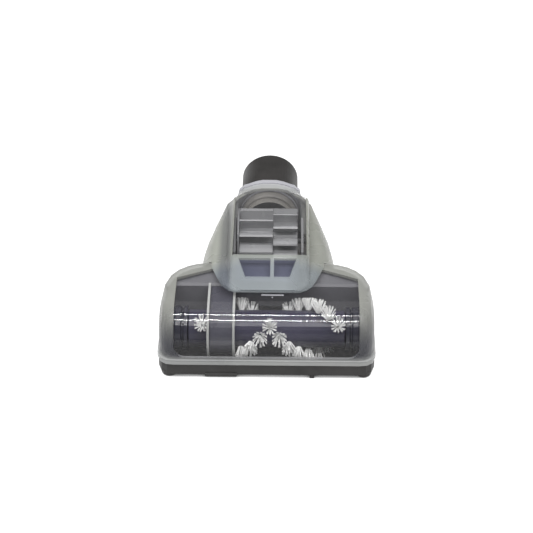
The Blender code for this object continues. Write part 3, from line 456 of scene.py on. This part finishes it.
def base_plastic():
    """Almost black outside, with a navy roller chamber that painted shade makes darker still, and a light grey
    lining round the turbine.
    """
    finish = Finish("base_lined", 0.50, Specular_IOR_Level=0.3)
    finish.colour((0.30, 0.29, 0.28), (0.46, 0.44, 0.43), 60.0)
    past_roller_shade = outside_box(finish.tree, *ROLLER_CHAMBER)
    past_turbine = outside_box(finish.tree, *TURBINE_CHAMBER)
    # Navy, plus painted shade inside the roller chamber, which makes it darker than the rest of the base
    finish.tint(finish.ramp(past_roller_shade, ((0.0, (0.26, 0.26, 0.40)), (1.0, grey(1.0)))))
    finish.tint(finish.ramp(past_turbine, ((0.0, grey(1.0)), (1.0, grey(0.10)))))
    return finish.rough(0.44, 0.58, 45.0).bump(2600.0, 0.25).material


def wheel_grey():
    """The turbine's blades, with painted light making them lighter towards the hub, in the deep gaps between them.
    """
    finish = Finish("wheel_grey", 0.24)
    finish.colour((0.66, 0.66, 0.68), (0.78, 0.78, 0.80), 40.0)
    # Painted light: lighter towards the hub, where the gaps between the blades lie in shade
    painted_light_toward_hub = finish.bands(finish.from_axis(), (
        (0.0100, grey(1.0)),
        (0.0150, grey(1.0)),
        (0.0200, grey(0.50)),
        (0.0260, grey(0.50)),
    ))
    return finish.tint(painted_light_toward_hub).rough(0.18, 0.30, 60.0).bump(1500.0, 0.12).material


def node_finishes():
    """Finishes that single nodes have for themselves, by the node's name."""
    cap = (Finish("cap_navy", 0.35, Specular_IOR_Level=0.4)
           .colour((0.016, 0.016, 0.026), (0.026, 0.026, 0.040), 60.0)
           .rough(0.16, 0.26, 45.0).bump(1500.0, 0.15).material)
    # Painted shade: a darker copy of the steel, for the shaft and bushes inside the turbine chamber
    shaded_steel = (Finish("shaded_steel", 0.55, Metallic=1.0)
                   .colour(grey(0.16), grey(0.24), 120.0)
                   .rough(0.48, 0.62, 200.0).bump(900.0, 0.1).material)
    guard = (Finish("guard_navy", 0.30, Specular_IOR_Level=0.4)
             .colour((0.056, 0.055, 0.072), (0.076, 0.075, 0.094), 40.0)
             .rough(0.24, 0.36, 45.0).bump(1500.0, 0.15).material)
    # Painted light: a pale, half-opaque colour stands in for the light that the clear ribs carry to their edges
    rib = (Finish("rib_painted_light", 0.20)
           .colour((0.60, 0.61, 0.60), (0.72, 0.73, 0.71), 90.0)
           .rough(0.14, 0.28, 60.0).bump(1500.0, 0.10).see_through(0.40, 0.85).material)
    plate = (Finish("plate_grey", 0.55)
             .colour((0.30, 0.30, 0.31), (0.36, 0.36, 0.37), 40.0)
             .rough(0.48, 0.62, 60.0).bump(1500.0, 0.12).material)
    turbine_window = (Finish("clear_smoke", 0.04, Specular_IOR_Level=0.8)
                      .colour((0.07, 0.07, 0.08), (0.10, 0.10, 0.11), 14.0)
                      .rough(0.03, 0.07, 24.0).bump(340.0, 0.28)
                      .see_through(0.05, 0.60, 0.50).polish(0.05, 0.8).material)
    wheel = wheel_grey()
    return {
        "base_shell": base_plastic(),
        "head_frame": head_smoke(),
        "tail_cover": tail_smoke(),
        "neck_tube": neck_plastic(),
        "chamber_wall": wall_grey(),
        "belt_guard": guard,
        "belt_guard_rib_left": rib,
        "belt_guard_rib_right": rib,
        "roller_cap_left": cap,
        "roller_cap_right": cap,
        "turbine_window": turbine_window,
        "turbine_shaft": shaded_steel,
        "turbine_bush_left": shaded_steel,
        "turbine_bush_right": shaded_steel,
        "turbine_plate_left": plate,
        "turbine_plate_right": plate,
        "turbine_wheel_left": wheel,
        "turbine_wheel_right": wheel,
    }


def slot_finishes():
    """Finishes of the material slots, by the slot's name."""
    return {
        "base": (Finish("base_plastic", 0.50, Specular_IOR_Level=0.3)
                 .colour((0.030, 0.029, 0.028), (0.046, 0.044, 0.043), 60.0)
                 .rough(0.44, 0.58, 45.0).bump(2600.0, 0.25).material),
        "clear_cover": (Finish("clear_cover", 0.04, Specular_IOR_Level=0.8)
                        .colour((0.07, 0.07, 0.09), (0.10, 0.10, 0.12), 14.0)
                        .rough(0.03, 0.07, 24.0).bump(340.0, 0.28)
                        .see_through(0.03, 0.50, 0.60).polish(0.04, 0.50).material),
        "inner_grey": (Finish("inner_grey", 0.24)
                       .colour((0.17, 0.17, 0.18), (0.22, 0.22, 0.23), 40.0)
                       .rough(0.18, 0.30, 60.0).bump(1500.0, 0.12).material),
        "inlet_blue": (Finish("inlet_blue", 0.35)
                       .colour((0.070, 0.075, 0.11), (0.095, 0.10, 0.14), 40.0)
                       .rough(0.28, 0.42, 60.0).bump(1500.0, 0.15).material),
        "collar_grey": (Finish("collar_grey", 0.32)
                        .colour((0.36, 0.36, 0.39), (0.42, 0.42, 0.45), 30.0)
                        .rough(0.26, 0.38, 50.0).bump(1500.0, 0.15).material),
        "roller_navy": (Finish("roller_navy", 0.25, Specular_IOR_Level=0.4)
                        .colour((0.030, 0.028, 0.050), (0.048, 0.045, 0.074), 35.0)
                        .rough(0.26, 0.36, 40.0).bump(1200.0, 0.12).material),
        "bristle": (Finish("bristle", 0.45, Sheen_Weight=1.0, Sheen_Roughness=0.5)
                    .colour((0.92, 0.92, 0.91), (1.0, 1.0, 0.99), 500.0).material),
        "steel": (Finish("steel", 0.42, Metallic=1.0)
                  .colour(grey(0.40), grey(0.52), 120.0)
                  .rough(0.36, 0.50, 200.0).bump(900.0, 0.1, stretch=(1.0, 8.0, 8.0)).material),
        "belt_rubber": (Finish("belt_rubber", 0.65)
                        .colour(grey(0.014), grey(0.030), 200.0)
                        .rough(0.55, 0.80, 150.0).bump(1400.0, 0.3).material),
    }


def finish_of(entry, finishes):
    """A node's own finish, or else the one of its material slot."""
    if entry["node"] in finishes:
        return finishes[entry["node"]]
    return finishes[entry["material_slot"]]


def dress_nodes(finishes):
    for entry in frame["record"]["subparts"]:
        piece = nodes[entry["node"]]
        piece.data.materials.clear()
        piece.data.materials.append(finish_of(entry, finishes))


def mesh_object(name, bm, finish, smooth_angle=None):
    """Makes an object of a bmesh, and frees the bmesh."""
    mesh = bpy.data.meshes.new(name)
    bm.to_mesh(mesh)
    bm.free()
    if smooth_angle is not None:
        mesh.shade_smooth()
        mesh.set_sharp_from_angle(angle=smooth_angle)
    made = bpy.data.objects.new(name, mesh)
    bpy.context.scene.collection.objects.link(made)
    mesh.materials.append(finish)
    return made


def smooth_shell(node, body, finish):
    """A moulded shell with the same shape as its solid, and a smooth surface over its facets."""
    solid = nodes[node].data
    bm = bmesh.new()
    corners = [bm.verts.new(vertex.co) for vertex in solid.vertices]
    for face in solid.polygons:
        bm.faces.new([corners[index] for index in face.vertices])
    bmesh.ops.remove_doubles(bm, verts=bm.verts, dist=WELD)
    bmesh.ops.dissolve_limit(bm, angle_limit=FLAT_ANGLE, verts=bm.verts, edges=bm.edges)
    shell = mesh_object(node + "_smooth", bm, finish, SMOOTH_ANGLE)
    even = shell.modifiers.new("even_shading", "WEIGHTED_NORMAL")
    even.keep_sharp = True
    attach(shell, body)
    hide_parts(node)


def add_shells(finishes):
    for entry in frame["record"]["subparts"]:
        if entry["node"] in SHELLS:
            smooth_shell(entry["node"], "housing", finish_of(entry, finishes))


def add_hair(bm, root, tip):
    """One nylon hair: a thin three-sided blade that narrows to its tip."""
    along = (tip - root).normalized()
    aside = along.orthogonal().normalized()
    across = along.cross(aside)
    rings = []
    for place, width in ((root, HAIR_RADIUS), (tip, HAIR_RADIUS * HAIR_TIP_SHARE)):
        rings.append([bm.verts.new(place + (aside * math.cos(turn) + across * math.sin(turn)) * width)
                      for turn in HAIR_CORNERS])
    for k in range(len(HAIR_CORNERS)):
        t = (k + 1) % len(HAIR_CORNERS)
        bm.faces.new((rings[0][k], rings[0][t], rings[1][t], rings[1][k]))
    bm.faces.new(rings[0][::-1])
    bm.faces.new(rings[1])


def tuft_frame(x, phase):
    """The way out of the roller at a tuft, and the way round the roller there."""
    angle = phase + TUFT_TURN * abs(x - TUFT_MIDDLE) / TUFT_PITCH
    outward = Vector((0.0, math.cos(angle), math.sin(angle)))
    aside = Vector((0.0, -math.sin(angle), math.cos(angle)))
    return outward, aside


def tuft_limits(x):
    """How far a tuft at x may fan out along the roller, clear of the belt guard's ribs."""
    if x < GUARD_MIDDLE:
        return x - FAN, min(x + FAN, GUARD_MIDDLE - GUARD_REACH)
    return max(x - FAN, GUARD_MIDDLE + GUARD_REACH), x + FAN


def keep_within(tip, low, high):
    """Moves a hair's tip back between two places along the roller, and inside the tufts' radius."""
    tip.x = min(max(tip.x, low), high)
    reach = math.hypot(tip.y - ROLLER.y, tip.z - ROLLER.z)
    back = min(1.0, TUFT_RADIUS / reach)
    tip.y = ROLLER.y + (tip.y - ROLLER.y) * back
    tip.z = ROLLER.z + (tip.z - ROLLER.z) * back


def add_tuft(bm, x, phase):
    """A round bundle of hairs that fans out to a star at its tips, half of it along the star's edge."""
    outward, aside = tuft_frame(x, phase)
    middle = Vector((x, ROLLER.y, ROLLER.z))
    along = Vector((1.0, 0.0, 0.0))
    low, high = tuft_limits(x)
    length = TUFT_RADIUS - CORE_RADIUS
    half = CLUMPS * 0.5
    for clump in range(CLUMPS):
        spread = 1.0 if clump < half else random.uniform(*INNER_SPREAD)
        turn = 2 * math.pi * (clump + CLUMP_STRAY * random.random()) / half
        for _ in range(HAIRS_IN_CLUMP):
            stray = turn + random.uniform(-HAIR_STRAY, HAIR_STRAY)
            share = spread * random.uniform(LEAST_SHARE, 1.0)
            foot = (along * math.cos(stray) + aside * math.sin(stray)) * share
            root = middle + outward * (CORE_RADIUS + ROOT_LIFT) + foot * ROOT_FAN
            lean = outward * (length - random.random() * LEAN_STRAY) + foot * FAN
            tip = root + lean.normalized() * length
            keep_within(tip, low, high)
            add_hair(bm, root, tip)


def bristle_row(name, node, places, phase, finish):
    bm = bmesh.new()
    for x in places:
        add_tuft(bm, x, phase)
    row = mesh_object(name, bm, finish)
    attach(row, "brush_roller")
    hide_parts(node)


def add_bristles(finishes):
    """Two rows opposite one another, each in a part left of the belt guard and a main part right of it."""
    places = [TUFT_MIDDLE + k * TUFT_PITCH for k in range(-TUFT_COUNT, TUFT_COUNT + 1)]
    left = [x for x in places if x < GUARD_MIDDLE - GUARD_CLEAR]
    main = [x for x in places if x > GUARD_MIDDLE + GUARD_CLEAR]
    for phase, word in ((ROW_PHASE, "a"), (ROW_PHASE + math.pi, "b")):
        for part, members in (("left", left), ("main", main)):
            node = "bristle_row_%s_%s" % (word, part)
            bristle_row("bristles_%s_%s" % (word, part), node, members, phase, finishes["bristle"])


def rounded_block(bm, low, high, radius):
    """A block between two corners, with rounded edges."""
    made = bmesh.ops.create_cube(bm, size=1.0)["verts"]
    for vertex in made:
        for k in range(3):
            vertex.co[k] = low[k] + (vertex.co[k] + 0.5) * (high[k] - low[k])
    edges = list({edge for vertex in made for edge in vertex.link_edges})
    bmesh.ops.bevel(bm, geom=edges, offset=radius, segments=2, profile=0.5, affect="EDGES")


def add_cover_mark(finishes):
    """The moulded bar and dot on the clear cover."""
    bm = bmesh.new()
    for near, far, radius in (COVER_BAR, COVER_DOT):
        rounded_block(bm, (*near, COVER_TOP - MARK_RISE), (*far, COVER_TOP + MARK_RISE), radius)
    mark = mesh_object("cover_mark", bm, finishes["collar_grey"], SMOOTH_ANGLE)
    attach(mark, "housing")


def add_rim_slots(finishes):
    """The small latch slots in the rim's sides."""
    bm = bmesh.new()
    for side in (-1, 1):
        left, right = sorted(side * end for end in SLOT_X)
        rounded_block(bm, (left, SLOT_Y[0], SLOT_Z[0]), (right, SLOT_Y[1], SLOT_Z[1]), SLOT_EDGE)
    slots = mesh_object("rim_slots", bm, finishes["belt_rubber"], SMOOTH_ANGLE)
    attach(slots, "housing")


def add_floor():
    bm = bmesh.new()
    bmesh.ops.create_grid(bm, x_segments=1, y_segments=1, size=FLOOR_REACH)
    floor = mesh_object("floor", bm, floor_finish())
    floor.location.z = -FLOOR_DROP


def floor_finish():
    """White to the camera, with a soft shadow where the object stands close over it, and a painted shadow under
    the roller's opening.
    """
    material = bpy.data.materials.new("floor_white")
    material.use_nodes = True
    tree = material.node_tree
    shader = tree.nodes["Principled BSDF"]
    shader.inputs["Roughness"].default_value = 0.9
    shader.inputs["Emission Color"].default_value = (1.0, 1.0, 1.0, 1.0)
    # Painted shadow: the floor under the roller's opening is dark and gives no glow
    outside_painted_shadow = outside_box(tree, *PAINTED_SHADOW_BOX)
    shade = map_range(tree, outside_painted_shadow, PAINTED_SHADOW_GREY, FLOOR_SHADE, 0.0, 1.0)
    tree.links.new(shade, shader.inputs["Base Color"])
    path = tree.nodes.new("ShaderNodeLightPath")
    seen = path.outputs["Is Camera Ray"]
    for kind in ("Is Glossy Ray", "Is Transmission Ray"):
        seen = math_node(tree, "MAXIMUM", seen, path.outputs[kind])
    open_sky = tree.nodes.new("ShaderNodeAmbientOcclusion")
    open_sky.inputs["Distance"].default_value = SHADOW_REACH
    lit = map_range(tree, open_sky.outputs["AO"], 0.0, 1.0, *SHADOW_RANGE)
    glow = math_node(tree, "MULTIPLY", seen, math_node(tree, "MULTIPLY", lit, outside_painted_shadow))
    strength = math_node(tree, "MULTIPLY", glow, FLOOR_GLOW)
    tree.links.new(strength, shader.inputs["Emission Strength"])
    return material


add_camera()
set_colour_handling()
add_lights()
add_floor()
finishes = {**node_finishes(), **slot_finishes()}
dress_nodes(finishes)
add_bristles(finishes)
add_shells(finishes)
add_cover_mark(finishes)
add_rim_slots(finishes)
